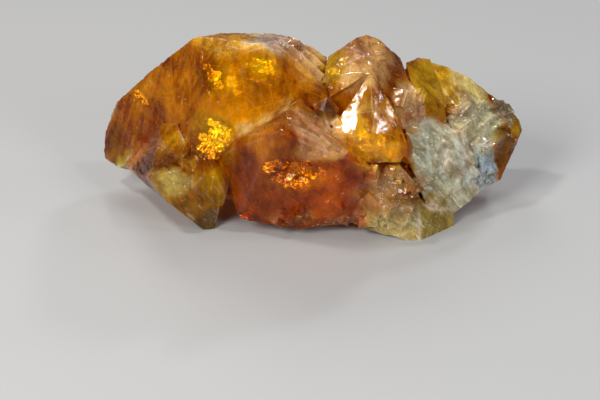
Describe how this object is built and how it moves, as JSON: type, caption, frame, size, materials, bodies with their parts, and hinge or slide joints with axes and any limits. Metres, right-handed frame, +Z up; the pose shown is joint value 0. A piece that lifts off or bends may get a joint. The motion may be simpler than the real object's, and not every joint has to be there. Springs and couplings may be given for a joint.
{
  "type": "scheelite crystal",
  "caption": "Intergrown cluster of clear honey-orange scheelite crystals, a loose mineral specimen that rests on three small feet.",
  "frame": {"origin": "on the surface that the cluster rests on, under the middle of its box", "axes": "+X along the cluster from the thin blade to the pale wing, +Y to its back, +Z up; the pictured side faces -Y"},
  "size_m": [0.0692, 0.0324, 0.0314],
  "materials": {
    "scheelite": "glossy, clear to cloudy honey orange"
  },
  "bodies": {
    "root": {"scheelite_crystal": "scheelite"}
  },
  "joints": []
}
